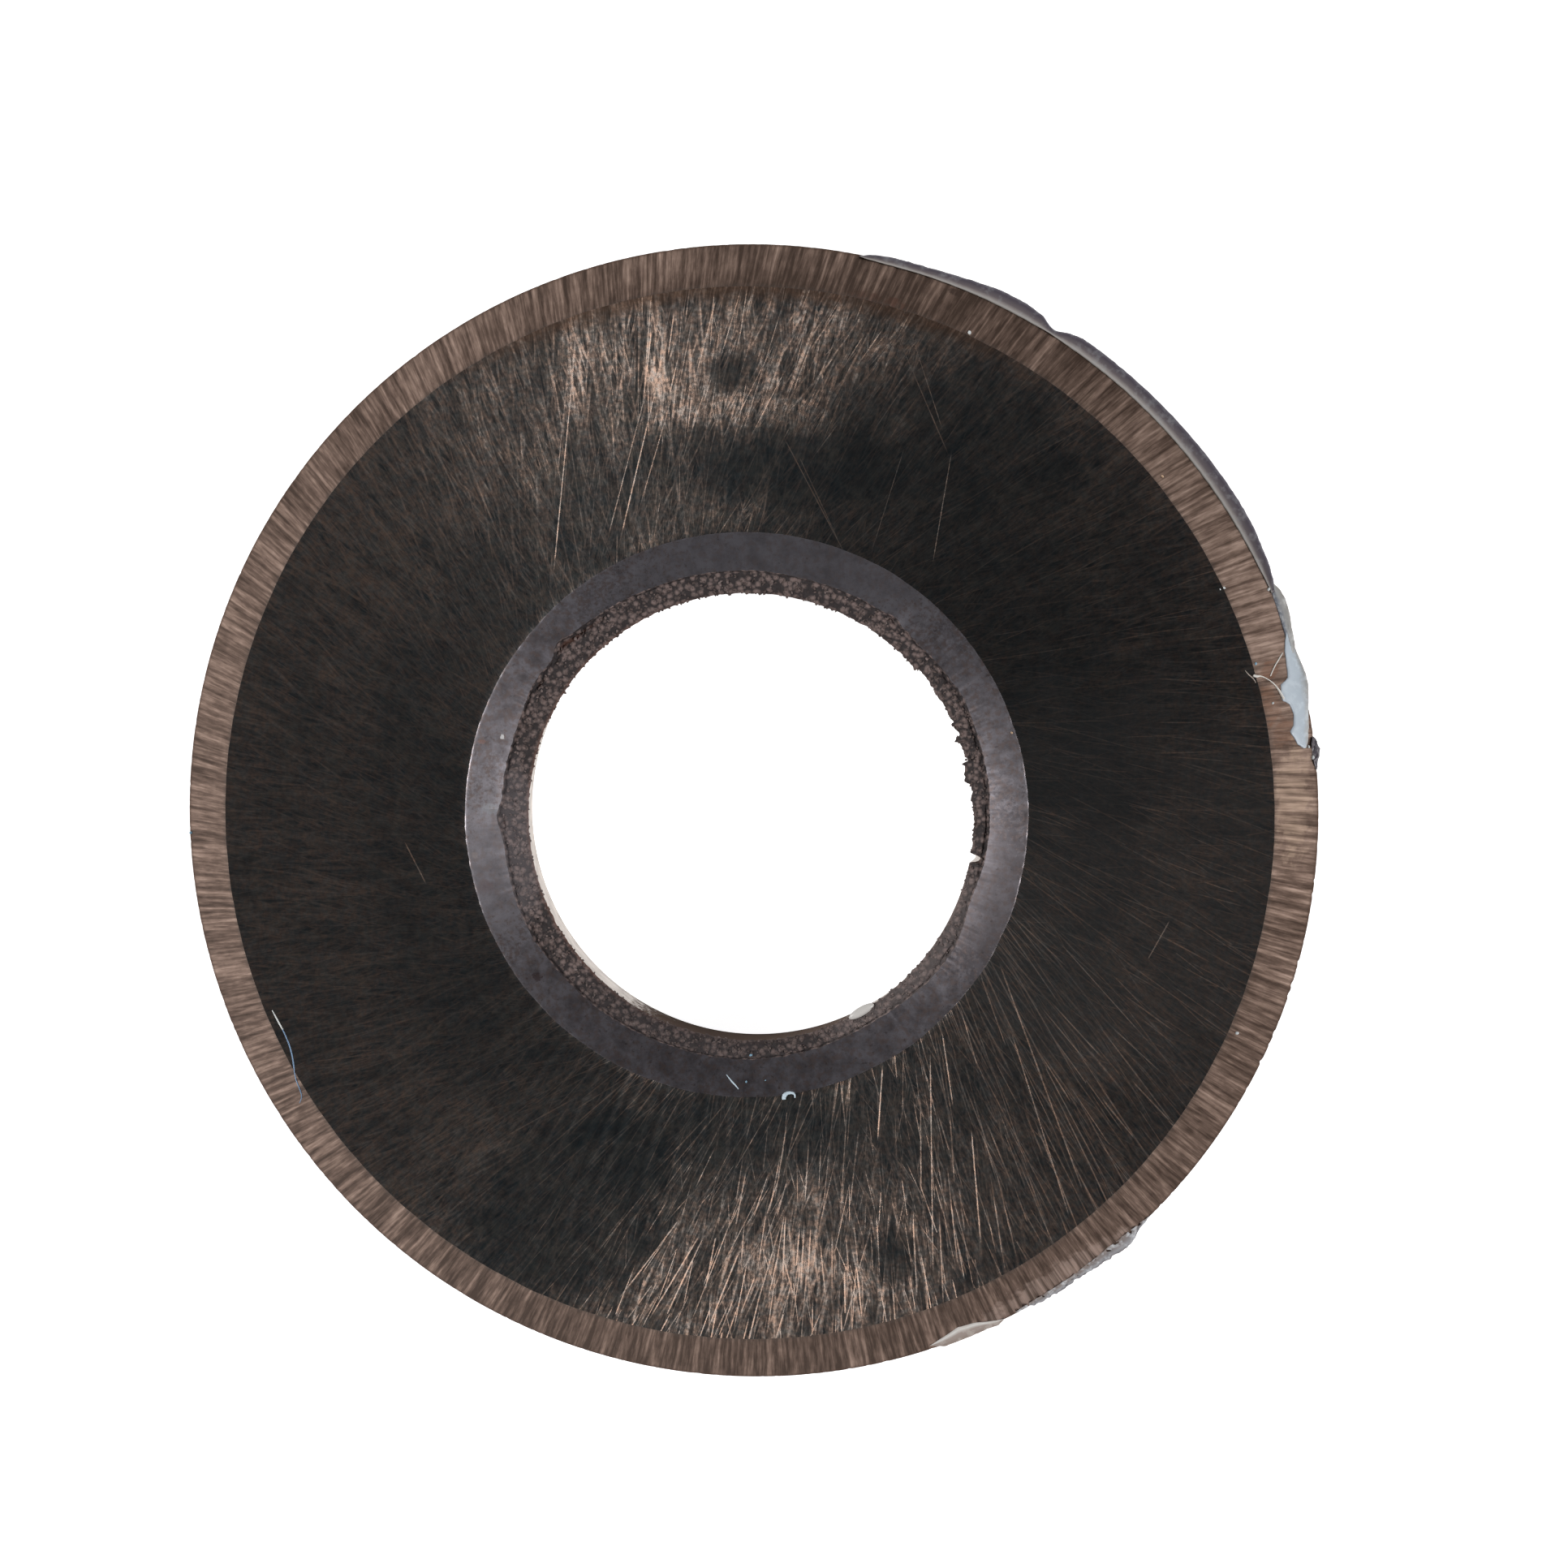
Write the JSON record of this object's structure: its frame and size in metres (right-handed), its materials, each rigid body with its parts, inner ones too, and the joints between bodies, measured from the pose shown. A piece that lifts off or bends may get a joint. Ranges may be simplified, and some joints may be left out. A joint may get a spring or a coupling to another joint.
{
  "type": "tile cutter scoring wheel",
  "caption": "Ground carbide ring with a bevelled cutting edge, flat hub faces and a plain bore, for scoring ceramic tile.",
  "frame": {"origin": "centre of the bore, half-way through the wheel's thickness", "axes": "+Z along the bore; the wheel is round, so +X and +Y are any two directions across it; it lies flat on the hub face that looks down -Z"},
  "size_m": [0.015, 0.015, 0.0016],
  "materials": {
    "carbide": "dark cemented carbide, ground to fine near-radial scratches, with a satin blue-grey ring left as sintered round the bore"
  },
  "bodies": {
    "root": {"cutting_wheel": "carbide"}
  },
  "joints": []
}
